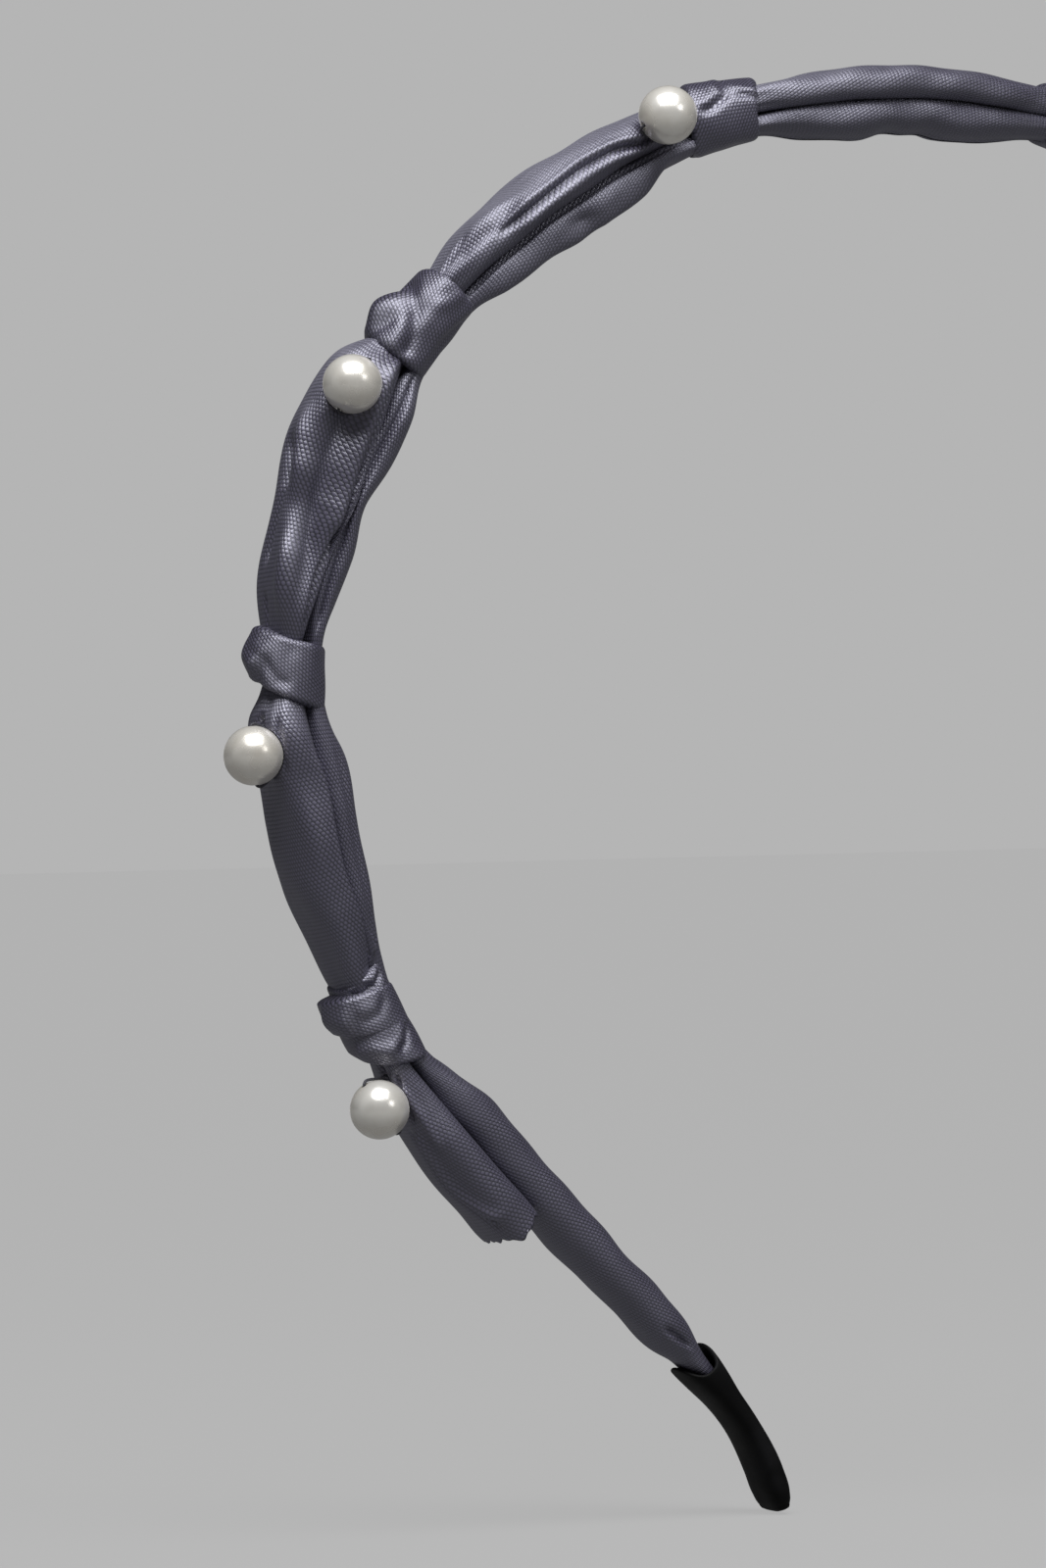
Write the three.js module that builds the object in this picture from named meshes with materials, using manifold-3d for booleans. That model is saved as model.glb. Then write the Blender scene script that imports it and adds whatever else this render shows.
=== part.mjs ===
// An alice band: a spring-steel strip in a satin sleeve, with a satin ribbon knotted along it, a pearl
// sewn beside each knot and a rubber cap on each tip. Millimetres: X runs from ear to ear (left is -X),
// Y from front (-) to back, Z up. The origin is the small flat under the crown, which rests on the head.
//
// Every piece follows one line, the middle of the strip. A place on it is its distance from the crown,
// positive down the left arm and negative down the right one. Across it, "out" is away from the head.
// Strip, sleeve and ribbon are one piece each, divided here inside the knots so that the band can flex.
import * as THREE from "three";
import Module from "manifold-3d";

const wasm = await Module();
wasm.setup();

// ---- driving dimensions ----

const GAP = 0.3; // between pieces that touch
const FLEX_GAP = 0.8; // between two lengths of a piece, where the band flexes inside a knot

// the left half of the line, from the crown to the tip, as tangent arcs: [length, turn in degrees]
const ARCS = [[26, 21], [59, 50.5], [13, 17.5], [62, 50.5], [29, -11.5], [8, -17.5], [4.2, -7]];
const LINE_LENGTH = ARCS.reduce((sum, [length]) => sum + length, 0);

const STRIP = { wide: 4.6, thick: 0.7 };
const STRIP_HOLE = { wide: 5.4, thick: 1.3, power: 8 }; // the way for the strip through the sleeve

// the sleeve's width along Y, and how far it reaches from the line towards the head and away from it
const SLEEVE = { wide: 7.6, inner: 3.1, outer: 1.6 }; // between two knots: the spare cloth hangs inward
const SLEEVE_TIED = { wide: 6.2, inner: 1.05, outer: 1.05 }; // squeezed by a knot
const SLEEVE_BARE = { wide: 8.2, inner: 2.6, outer: 2.4 }; // past the ribbon's cut end
const SLEEVE_TUCKED = { wide: 5.9, inner: 1.05, outer: 1.05 }; // inside the cap
const HEAD_FLAT_DEPTH = 0.2; // how far the flat is cut into the round of the crown

const RIBBON_TIED = { wide: 4.6, thick: 2.3 };

const PEARL_RADIUS = 3;
const PEARL_HOLE_RADIUS = 0.5;
const PEARL_REACH = 7.5; // from the line to the pearl's centre
const THREAD_RADIUS = 0.15;

// From the crown down one arm. The pearl lies "pearl" past the knot's middle, turned "turned" degrees
// outward from the front, and "ribbon" is the size of the ribbon's loose length that follows.
const KNOTS = [
  { at: 19.7, half: 3.4, pearl: 8.3, turned: 32, ribbon: { wide: 10, thick: 3.7 } },
  { at: 60.2, half: 4.5, pearl: 9.5, turned: 49, ribbon: { wide: 10.5, thick: 4.8 } },
  { at: 97.3, half: 3.9, pearl: 7.7, turned: 69, ribbon: { wide: 10, thick: 3.8 } },
  { at: 132.0, half: 4.3, pearl: 8.0, turned: 65, ribbon: { wide: 10.5, thick: 4.3 } },
];
const CROWN_RIBBON = { wide: 9.5, thick: 2.9 };
const KNOT_HOLE = { wide: 7.4, thick: 5.9, out: 1.4 };
const KNOT_WALL = 0.9;
const TAIL_END = 158.4; // where the ribbon is cut

const CAP_MOUTH = 182.2;
const CAP_SCOOP = 1.8; // how much further down the mouth's edge lies at front and back
const CAP = { wide: 6.8, thick: 3.0, out: -0.15 };
const CAP_LIP = { wide: 7.4, thick: 4.1, out: -0.1 };
const CAP_POCKET = { wide: 6.5, thick: 2.8, deep: 3.4, power: 4 }; // takes the end of the sleeve
const CAP_FLOOR = 2.6; // rubber past the end of the strip

const SIDES = 14; // corners of a round section
const STEP = 4; // along the line, where nothing changes quickly
const EASE = 8.5; // the length over which tied satin opens out

// ---- materials ----

function plain(color, roughness, metalness = 0) {
  return new THREE.MeshStandardMaterial({ color, roughness, metalness });
}

const material = {
  steel: plain(0x9a9ca0, 0.35, 1),
  satin: plain(0x6f6f80, 0.45),
  pearl: plain(0xdfdbce, 0.2),
  thread: plain(0x5c5b68, 0.7),
  rubber: plain(0x0a0a0b, 0.75),
};

// ---- the line ----

// the place, the direction down the arm and the direction out, at a distance along the line
function frameAt(along) {
  let x = 0;
  let z = SLEEVE.inner - HEAD_FLAT_DEPTH;
  let dip = 0;
  let left = Math.abs(along);
  for (const [length, turn] of [...ARCS, [Infinity, 0]]) {
    const run = Math.min(left, length);
    const bend = turn === 0 ? 0 : THREE.MathUtils.degToRad(turn) * (run / length);
    const chord = bend === 0 ? run : run * Math.sin(bend / 2) / (bend / 2);
    x += chord * Math.cos(dip + bend / 2);
    z -= chord * Math.sin(dip + bend / 2);
    dip += bend;
    left -= run;
    if (left <= 0) break;
  }
  const side = along < 0 ? 1 : -1; // the left arm lies at -X
  return {
    place: new THREE.Vector3(side * x, 0, z),
    down: new THREE.Vector3(side * Math.cos(dip), 0, -Math.sin(dip)),
    out: new THREE.Vector3(side * Math.sin(dip), 0, Math.cos(dip)),
  };
}

function pointAt(along, out, back) {
  const { place, out: outward } = frameAt(along);
  return place.clone().addScaledVector(outward, out).add(new THREE.Vector3(0, back, 0));
}

// ---- sections and skins ----

// a ring of points round the line: a rounded box "wide" along Y and "thick" outward, its middle "out" from
// the line; a higher power is boxier, and "scoop" draws its front and back down the arm
function ring(along, { wide, thick, out = 0, power = 2.4, scoop = 0 }) {
  const points = [];
  const arm = along < 0 ? -1 : 1;
  for (let i = 0; i < SIDES; i++) {
    const turn = (i + 0.5) / SIDES * 2 * Math.PI;
    const [c, s] = [Math.cos(turn), Math.sin(turn)];
    const across = Math.sign(c) * Math.abs(c) ** (2 / power);
    const outward = Math.sign(s) * Math.abs(s) ** (2 / power);
    const lead = arm * scoop * across ** 2;
    points.push(pointAt(along + lead, out + outward * thick / 2, across * wide / 2));
  }
  return points;
}

function flatRing(along, { wide, thick }) {
  const corners = [[1, 1], [-1, 1], [-1, -1], [1, -1]];
  return corners.map(([a, b]) => pointAt(along, b * thick / 2, a * wide / 2));
}

// joins rings into one closed skin: end to end with a flat cover on both ends, or round to the first again
function skin(rings, { looped = false } = {}) {
  const sides = rings[0].length;
  const faces = [];
  const gaps = looped ? rings.length : rings.length - 1;
  for (let r = 0; r < gaps; r++) {
    const here = r * sides;
    const next = (r + 1) % rings.length * sides;
    for (let i = 0; i < sides; i++) {
      const j = (i + 1) % sides;
      faces.push([here + i, here + j, next + j], [here + i, next + j, next + i]);
    }
  }
  if (!looped) {
    const last = (rings.length - 1) * sides;
    for (let i = 1; i < sides - 1; i++) {
      faces.push([0, i + 1, i], [last, last + i, last + i + 1]);
    }
  }
  const points = rings.flat();
  if (volume(points, faces) < 0) faces.forEach((face) => face.reverse());
  const geometry = new THREE.BufferGeometry().setFromPoints(points);
  geometry.setIndex(faces.flat());
  geometry.computeVertexNormals();
  return geometry;
}

function volume(points, faces) {
  const centre = points[0];
  let sum = 0;
  for (const [a, b, c] of faces) {
    const [p, q, r] = [a, b, c].map((i) => points[i].clone().sub(centre));
    sum += p.dot(q.cross(r)) / 6;
  }
  return sum;
}

// places from one distance to another, no further apart than a step, and the given stops as well
function places(from, to, stops = [], step = STEP) {
  const ends = [from, ...stops.filter((s) => s > Math.min(from, to) && s < Math.max(from, to)), to];
  ends.sort((a, b) => (to > from ? a - b : b - a));
  const all = [from];
  for (let i = 1; i < ends.length; i++) {
    const count = Math.ceil(Math.abs(ends[i] - ends[i - 1]) / step);
    for (let k = 1; k <= count; k++) all.push(ends[i - 1] + (ends[i] - ends[i - 1]) * k / count);
  }
  return all;
}

// ---- how full the satin is along an arm ----

const mix = THREE.MathUtils.lerp;

function mixSizes(a, b, t) {
  return Object.fromEntries(Object.keys(a).map((key) => [key, mix(a[key], b[key], t)]));
}

// 0 where a knot holds the satin, 1 in the loose length between two knots; below a knot the satin starts
// to open "opens" past its middle
function looseness(along, opens) {
  const s = Math.abs(along);
  const eases = KNOTS.map((knot) => {
    if (s < knot.at) return THREE.MathUtils.smoothstep(knot.at - knot.half - s, 0.6, EASE);
    return THREE.MathUtils.smoothstep(s - knot.at, opens(knot), opens(knot) + EASE);
  });
  return Math.min(...eases);
}

function sleeveSize(along) {
  const s = Math.abs(along);
  const loose = looseness(along, (knot) => knot.half + FLEX_GAP);
  const bare = THREE.MathUtils.smoothstep(s, TAIL_END - 4, TAIL_END + 5);
  const tucked = THREE.MathUtils.smoothstep(s, CAP_MOUTH - 9, CAP_MOUTH - 0.4);
  const covered = mixSizes(SLEEVE_TIED, SLEEVE, loose);
  return mixSizes(mixSizes(covered, SLEEVE_BARE, bare), SLEEVE_TUCKED, tucked);
}

function sleeveRing(along) {
  const { wide, inner, outer } = sleeveSize(along);
  return ring(along, { wide, thick: inner + outer, out: (outer - inner) / 2 });
}

// the ribbon lies on the sleeve's outer side, and opens once it is past the pearl
function ribbonRing(along, full) {
  const loose = looseness(along, (knot) => knot.pearl + PEARL_RADIUS / 3);
  const size = mixSizes(RIBBON_TIED, full, loose);
  return ring(along, { ...size, out: sleeveSize(along).outer + GAP + size.thick / 2 });
}

// ---- the pieces ----

function stripLength(from, to) {
  return skin(places(from, to).map((s) => flatRing(s, STRIP)));
}

function sleeveLength(from, to, stops) {
  const along = places(from, to, stops);
  const outside = along.map(sleeveRing);
  const inside = along.map((s) => ring(s, STRIP_HOLE)).reverse();
  return skin([...outside, ...inside], { looped: true });
}

function ribbonLength(from, to, full, stops) {
  return skin(places(from, to, stops).map((s) => ribbonRing(s, full)));
}

// a band of satin wrapped round sleeve and ribbon, rounded over at both edges
function knotWrap(knot, arm) {
  const edge = [[-1, 0.86], [-0.86, 0.95], [-0.4, 1], [0.4, 1], [0.86, 0.95], [1, 0.86]];
  const outside = edge.map(([t, fullness]) => ring(arm * (knot.at + t * knot.half), {
    wide: (KNOT_HOLE.wide + 2 * KNOT_WALL) * fullness,
    thick: (KNOT_HOLE.thick + 2 * KNOT_WALL) * fullness,
    out: KNOT_HOLE.out,
    power: 3,
  }));
  const inside = [1, 0, -1].map((t) => ring(arm * (knot.at + t * knot.half), { ...KNOT_HOLE, power: 4 }));
  return skin([...outside, ...inside], { looped: true });
}

// the pearl's centre, the direction of its hole and the direction from it to the band
function pearlSeat(knot, arm) {
  const along = arm * (knot.at + knot.pearl);
  const turned = THREE.MathUtils.degToRad(knot.turned);
  const centre = pointAt(along, PEARL_REACH * Math.sin(turned), -PEARL_REACH * Math.cos(turned));
  const { place, down } = frameAt(along);
  return { centre, down, inward: place.clone().sub(centre).normalize() };
}

function pearl(knot, arm) {
  const open = Math.asin(PEARL_HOLE_RADIUS / PEARL_RADIUS);
  const steps = 11;
  const profile = [];
  for (let i = 0; i <= steps; i++) {
    const turn = open + (Math.PI - 2 * open) * i / steps;
    profile.push(new THREE.Vector2(PEARL_RADIUS * Math.sin(turn), -PEARL_RADIUS * Math.cos(turn)));
  }
  profile.push(profile[0].clone());
  const { centre, down } = pearlSeat(knot, arm);
  const toHole = new THREE.Quaternion().setFromUnitVectors(new THREE.Vector3(0, 1, 0), down);
  return new THREE.LatheGeometry(profile, 20).applyQuaternion(toHole).translate(...centre.toArray());
}

// through the pearl, round its two ends and down to the satin
function sewingThread(knot, arm) {
  const { centre, down, inward } = pearlSeat(knot, arm);
  const clear = PEARL_RADIUS + THREAD_RADIUS + GAP;
  const half = [[0, 0], [1.5, 0], [2.7, 0], [3.3, 0.08], [clear + 0.1, 0.55], [3.2, 1.5], [2.8, 2.3], [2.6, 2.9]];
  const route = [...half.slice(1).reverse().map(([a, b]) => [-a, b]), ...half];
  const points = route.map(([a, b]) => centre.clone().addScaledVector(down, a).addScaledVector(inward, b));
  const curve = new THREE.CatmullRomCurve3(points, false, "centripetal");
  const section = new THREE.Shape().absarc(0, 0, THREAD_RADIUS, 0, 2 * Math.PI);
  return new THREE.ExtrudeGeometry(section, { extrudePath: curve, steps: 22, curveSegments: 3 });
}

// a moulded rubber cap: a wide pocket for the sleeve's end, a slot for the strip, and a round tip
function tipCap(arm) {
  const end = LINE_LENGTH;
  const at = (s, size) => ring(arm * s, size);
  const round = [[1.3, 0.96], [0.6, 0.8], [0.15, 0.5], [0, 0.25]];
  const outside = [
    at(CAP_MOUTH, { ...CAP_LIP, scoop: CAP_SCOOP, power: 3 }),
    ...[1.6, 3.4, 5.2].map((d, i) => at(CAP_MOUTH + d + CAP_SCOOP / 2, {
      ...mixSizes(CAP_LIP, CAP, (i + 1) / 3), scoop: CAP_SCOOP * (1 - (i + 1) / 3), power: 3,
    })),
    ...places(CAP_MOUTH + 7.5, end - 2.4, [], 2).map((s) => at(s, { ...CAP, power: 3 })),
    ...round.map(([back, scale]) => at(end - back, {
      ...CAP, wide: CAP.wide * scale, thick: CAP.thick * Math.sqrt(scale),
    })),
  ];
  const slot = { ...STRIP_HOLE, power: 4 };
  const inside = [
    ...places(end - CAP_FLOOR, CAP_MOUTH + CAP_POCKET.deep + 1, [], 2).map((s) => at(s, slot)),
    at(CAP_MOUTH + CAP_POCKET.deep, CAP_POCKET),
    at(CAP_MOUTH, { ...CAP_POCKET, thick: CAP_POCKET.thick + 0.3, scoop: CAP_SCOOP }),
  ];
  return skin([...inside, ...outside]);
}

// cuts the flat that rests on the head into the crown
function cutHeadFlat(geometry) {
  const body = new wasm.Manifold(new wasm.Mesh({
    numProp: 3,
    vertProperties: new Float32Array(geometry.attributes.position.array),
    triVerts: new Uint32Array(geometry.index.array),
  }));
  const { vertProperties, triVerts } = body.trimByPlane([0, 0, 1], 0).getMesh();
  const cut = new THREE.BufferGeometry();
  cut.setAttribute("position", new THREE.BufferAttribute(vertProperties, 3));
  cut.setIndex(new THREE.BufferAttribute(triVerts, 1));
  cut.computeVertexNormals();
  return cut;
}

// ---- assembly ----

const headband = new THREE.Group();
headband.name = "headband";

function add(name, geometry, look) {
  const mesh = new THREE.Mesh(geometry, look);
  mesh.name = name;
  headband.add(mesh);
}

// the crown, between the first knot of each arm
const firstKnot = KNOTS[0].at;
const crownEnd = firstKnot - FLEX_GAP / 2;
add("core_crown", stripLength(-crownEnd, crownEnd), material.steel);
add("sleeve_crown", cutHeadFlat(sleeveLength(-crownEnd, crownEnd, [])), material.satin);
add("ribbon_crown", ribbonLength(-crownEnd, crownEnd, CROWN_RIBBON, []), material.satin);

for (const [side, arm] of [["left", 1], ["right", -1]]) {
  KNOTS.forEach((knot, i) => {
    const from = knot.at + FLEX_GAP / 2;
    const next = KNOTS[i + 1];
    const to = next ? next.at - FLEX_GAP / 2 : 0;
    const stripEnd = next ? to : LINE_LENGTH - CAP_FLOOR - GAP;
    const sleeveEnd = next ? to : CAP_MOUTH + CAP_POCKET.deep - GAP;
    const place = `${side}_${i + 1}`;
    add(`core_${place}`, stripLength(arm * from, arm * stripEnd), material.steel);
    add(`sleeve_${place}`, sleeveLength(arm * from, arm * sleeveEnd, [arm * CAP_MOUTH]), material.satin);
    const ribbon = ribbonLength(arm * from, arm * (next ? to : TAIL_END), knot.ribbon, []);
    add(next ? `ribbon_${place}` : `ribbon_tail_${side}`, ribbon, material.satin);
    add(`knot_${place}`, knotWrap(knot, arm), material.satin);
    add(`pearl_${place}`, pearl(knot, arm), material.pearl);
    add(`thread_${place}`, sewingThread(knot, arm), material.thread);
  });
  add(`tip_cap_${side}`, tipCap(arm), material.rubber);
}

export default headband;
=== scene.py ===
"""An alice band in grey satin: a sleeved steel strip, a ribbon knotted along it, pearls and rubber caps.

Sizes in this script are millimetres until a mesh is made. Every piece follows one line, the middle of the
steel strip. A place on it is its distance from the crown, positive down the left arm. Across it, "out" is
away from the head and "back" is away from the forehead. Round it, a turn of 0 is on the head's side, 0.25
faces forward, 0.5 outward and 0.75 backward. The left arm is built, and the right arm is its mirror image.
"""

import math

import bpy
import numpy as np
from mathutils import Matrix, Vector


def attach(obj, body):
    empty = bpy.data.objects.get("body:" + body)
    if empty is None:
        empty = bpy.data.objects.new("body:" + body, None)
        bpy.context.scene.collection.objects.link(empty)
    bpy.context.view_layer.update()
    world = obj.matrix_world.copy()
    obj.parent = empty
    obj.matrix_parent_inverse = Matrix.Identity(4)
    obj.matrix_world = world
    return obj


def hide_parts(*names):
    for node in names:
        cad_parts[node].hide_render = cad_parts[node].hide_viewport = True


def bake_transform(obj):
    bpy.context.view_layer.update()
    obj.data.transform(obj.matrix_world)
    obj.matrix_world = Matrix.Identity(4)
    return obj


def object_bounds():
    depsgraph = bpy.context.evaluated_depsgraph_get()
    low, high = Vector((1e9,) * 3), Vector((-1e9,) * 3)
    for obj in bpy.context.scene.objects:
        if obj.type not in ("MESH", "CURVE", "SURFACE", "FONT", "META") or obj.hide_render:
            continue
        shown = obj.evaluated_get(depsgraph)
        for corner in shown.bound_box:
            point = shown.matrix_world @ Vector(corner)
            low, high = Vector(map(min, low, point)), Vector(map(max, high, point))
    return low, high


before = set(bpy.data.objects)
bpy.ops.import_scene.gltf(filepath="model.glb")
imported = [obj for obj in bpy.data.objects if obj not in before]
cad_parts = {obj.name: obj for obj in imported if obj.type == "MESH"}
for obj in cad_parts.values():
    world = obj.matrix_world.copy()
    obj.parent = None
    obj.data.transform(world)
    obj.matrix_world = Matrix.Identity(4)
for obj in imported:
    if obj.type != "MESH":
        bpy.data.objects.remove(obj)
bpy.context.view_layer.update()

MM = 0.001

# ---- driving dimensions ----

# the line's arcs from the crown down: (length, degrees that it turns towards the head)
ARCS = [(26, 21), (59, 50.5), (13, 17.5), (62, 50.5), (29, -11.5), (8, -17.5), (4.2, -7)]
LINE_LENGTH = sum(length for length, _ in ARCS)
LINE_HEIGHT = 2.9  # of the strip's middle at the crown

PEARL_RADIUS = 3.0
PEARL_HOLE_RADIUS = 0.45
PEARL_REACH = 7.5  # from the line to the pearl's centre
PEARL_ROUND = 18.8
THREAD_RADIUS = 0.15

KNOT_AT = [19.7, 60.2, 97.3, 132.0]
KNOT_HALF = [3.4, 4.5, 3.9, 4.3]  # half a knot's length along the line
PEARL_PAST = [8.3, 9.5, 7.7, 8.0]  # from the knot's middle to the pearl
PEARL_TURNED = [32, 49, 69, 65]  # degrees outward from the front
TAIL_END = 158.4
TAIL_BORE = 7  # how far up the inside of the tail's mouth is modelled
CLOTH = 0.28  # thickness at the tail's cut

CAP_MOUTH = 182.2
CAP_SCOOP = 1.8  # how much further down the mouth lies in front and at the back

RIBBON_WIDTH = 25.0  # flat
SLEEVE_WIDTH = 21.0  # flat, round the strip
SLEEVE_POWER = 2.3  # how square a section is: 2 is an ellipse
RIBBON_POWER = 2.6
RIBBON_CLEAR = 0.14  # the ribbon's gap over the sleeve
PEARL_CLEAR = 0.1  # the cloth's gap round a pearl

ROW_STEP = 0.3  # between a grid's rows, along the cloth
SLEEVE_TURNS = (150, 7.6, 4.6, 2.3)  # points round, and the section that they are spread evenly on
RIBBON_TURNS = (180, 9.6, 3.8, 2.5)

# ---- the line ----

FINE = 0.05  # the line's step
_ends = np.concatenate([[0], np.cumsum([a for a, _ in ARCS])])
_turns = np.concatenate([[0], np.cumsum(np.radians([b for _, b in ARCS]))])
_along = np.arange(0, LINE_LENGTH + 4, FINE)
_dip = np.interp(_along, _ends, _turns)
_middle = (_dip[1:] + _dip[:-1]) / 2
_x = np.concatenate([[0], np.cumsum(np.cos(_middle) * FINE)])
_z = LINE_HEIGHT - np.concatenate([[0], np.cumsum(np.sin(_middle) * FINE)])


def place(s, out, back):
    """Points in metres, at distances s along the line."""
    s, out, back = np.broadcast_arrays(s, out, back)
    a = np.abs(s)
    dip = np.interp(a, _along, _dip)
    x = np.interp(a, _along, _x) + out * np.sin(dip)
    z = np.interp(a, _along, _z) + out * np.cos(dip)
    return np.stack([np.where(s < 0, x, -x), back, z], -1) * MM


def down(s):
    """The direction down the left arm."""
    dip = np.interp(s, _along, _dip)
    return np.array([-math.cos(dip), 0.0, -math.sin(dip)])


# ---- shaping ----


def curve(s, stops):
    """A smooth value along s through (place, value) stops, level past both ends."""
    x, y = np.array(stops, float).T
    slope = np.gradient(y, x)
    slope[0] = slope[-1] = 0
    s = np.clip(s, x[0], x[-1])
    i = np.clip(np.searchsorted(x, s) - 1, 0, len(x) - 2)
    h = x[i + 1] - x[i]
    t = (s - x[i]) / h
    return (
        y[i] * (2 * t**3 - 3 * t**2 + 1)
        + h * slope[i] * (t**3 - 2 * t**2 + t)
        + y[i + 1] * (3 * t**2 - 2 * t**3)
        + h * slope[i + 1] * (t**3 - t**2)
    )


def ease(x, low, high):
    """Rises smoothly from 0 at low to 1 at high."""
    t = np.clip((x - low) / (high - low), 0, 1)
    return t * t * (3 - 2 * t)


def outline(v, wide, low, high, power):
    """A rounded box in (out, back), "wide" along Y and from low to high outward, at turns v."""
    c, s = -np.cos(2 * np.pi * v), -np.sin(2 * np.pi * v)
    up = np.sign(c) * np.abs(c) ** (2 / power)
    across = np.sign(s) * np.abs(s) ** (2 / power)
    return (low + high) / 2 + up * (high - low) / 2, across * wide / 2


def even_turns(count, wide, thick, power):
    """Turns that space points evenly round a rounded box."""
    v = np.linspace(0, 1, 4001)
    out, back = outline(v, wide, 0, thick, power)
    length = np.concatenate([[0], np.cumsum(np.hypot(np.diff(out), np.diff(back)))])
    return np.interp(np.linspace(0, length[-1], count), length, v)


def fold(u, w, path, depth, width, lip=0.0, fade=3.0):
    """How far the cloth at (u, w) moves off its surface beside a fold along a path of (u, w) points: in
    by depth on the path, and out by lip on the path's left. It fades out over its two ends."""
    path = np.array(path, float)
    steps = np.diff(path, axis=0)
    lengths = np.hypot(*steps.T)
    starts = np.concatenate([[0], np.cumsum(lengths)])
    best, side, run = np.full(u.shape, 1e9), np.zeros(u.shape), np.zeros(u.shape)
    for (pu, pw), (du, dw), length, start in zip(path[:-1], steps, lengths, starts):
        t = np.clip(((u - pu) * du + (w - pw) * dw) / length**2, 0, 1)
        eu, ew = u - pu - t * du, w - pw - t * dw
        near = np.hypot(eu, ew)
        closer = near < best
        best = np.where(closer, near, best)
        side = np.where(closer, np.sign(du * ew - dw * eu), side)
        run = np.where(closer, start + t * length, run)
    fading = ease(run, 0, fade) * ease(starts[-1] - run, 0, fade)
    valley = np.exp(-((best / width) ** 2))
    ridge = np.exp(-(((best - 1.6 * width) / (1.3 * width)) ** 2)) * (side > 0)
    return (lip * ridge - depth * valley) * fading


def lumps(s, v, seed, rows, waves=(1, 4), pitch=(6, 16)):
    """Slow unevenness from -1 to 1, that closes on itself round the section."""
    rng = np.random.default_rng(seed)
    total = np.zeros(np.broadcast_shapes(s.shape, v.shape))
    for _ in range(rows):
        n = rng.integers(waves[0], waves[1] + 1)
        reach = rng.uniform(*pitch) * rng.choice([-1, 1])
        total += np.sin(2 * np.pi * (n * v + s / reach) + rng.uniform(0, 2 * np.pi))
    return total / math.sqrt(rows)


def off_outline(out, back, wide, low, high, power):
    """Moves the points that lie inside a rounded box out to it."""
    mid = (low + high) / 2
    inside = (np.abs(back) / (wide / 2)) ** power + (np.abs(out - mid) / ((high - low) / 2)) ** power
    grow = np.where(inside < 1, np.maximum(inside, 1e-4) ** (-1 / power), 1)
    return mid + (out - mid) * grow, back * grow


def normals(points):
    """Unit normals of a grid of points, out of the cloth."""
    a, b = np.gradient(points, axis=0), np.gradient(points, axis=1)
    n = np.cross(b, a)
    return n / np.maximum(np.linalg.norm(n, axis=-1, keepdims=True), 1e-12)


def off_balls(points, balls, radius):
    """Moves points out of balls."""
    for centre in balls:
        away = points - centre
        far = np.linalg.norm(away, axis=-1, keepdims=True)
        points = np.where(far < radius, centre + away / np.maximum(far, 1e-9) * radius, points)
    return points


# ---- meshes ----


def in_scene(name, data):
    made = bpy.data.objects.new(name, data)
    bpy.context.scene.collection.objects.link(made)
    return made


def to_mesh(name, grids, material, mirror=False):
    """A mesh from grids of points, each (points, uv, looped): uv is (rows, columns, 2), in millimetres of
    flat cloth, with one column more than points where the grid closes round on itself."""
    verts, faces, uvs = [], [], []
    base = 0
    for points, uv, looped in grids:
        rows, cols = points.shape[:2]
        index = np.arange(rows * cols).reshape(rows, cols) + base
        if looped:
            index = np.concatenate([index, index[:, :1]], 1)
        quads = np.stack([index[:-1, :-1], index[:-1, 1:], index[1:, 1:], index[1:, :-1]], -1)
        corners = np.stack([uv[:-1, :-1], uv[:-1, 1:], uv[1:, 1:], uv[1:, :-1]], -2)
        verts.append(points.reshape(-1, 3))
        faces.append(quads.reshape(-1, 4))
        uvs.append(corners.reshape(-1, 4, 2))
        base += rows * cols
    verts, faces, uvs = (np.concatenate(x) for x in (verts, faces, uvs))
    if mirror:
        verts = verts * [-1, 1, 1]
        faces, uvs = faces[:, ::-1], uvs[:, ::-1]
    mesh = bpy.data.meshes.new(name)
    mesh.vertices.add(len(verts))
    mesh.vertices.foreach_set("co", verts.astype(np.float32).ravel())
    mesh.loops.add(faces.size)
    mesh.loops.foreach_set("vertex_index", faces.astype(np.int32).ravel())
    mesh.polygons.add(len(faces))
    mesh.polygons.foreach_set("loop_start", np.arange(0, faces.size, 4, dtype=np.int32))
    layer = mesh.uv_layers.new(name="Cloth")
    layer.data.foreach_set("uv", uvs.astype(np.float32).ravel())
    mesh.polygons.foreach_set("use_smooth", np.ones(len(faces), bool))
    mesh.update(calc_edges=True)
    mesh.validate()
    mesh.materials.append(material)
    return in_scene(name, mesh)


def flat_uv(points, along, across, looped):
    """The flat place of each point: along its row's value or values, and evenly across."""
    cols = points.shape[1] + (1 if looped else 0)
    along = np.asarray(along, float)
    u = np.broadcast_to(along if along.ndim == 2 else along[:, None], (points.shape[0], cols))
    v = np.broadcast_to(np.linspace(0, across, cols), u.shape)
    return np.stack([u, v], -1)


# ---- node materials ----


def fill_ramp(ramp, stops):
    """Puts (position, colour) stops in a colour ramp."""
    while len(ramp.elements) < len(stops):
        ramp.elements.new(0.5)
    for element, (at, colour) in zip(ramp.elements, stops):
        element.position = at
        element.color = (*colour, 1)


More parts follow.
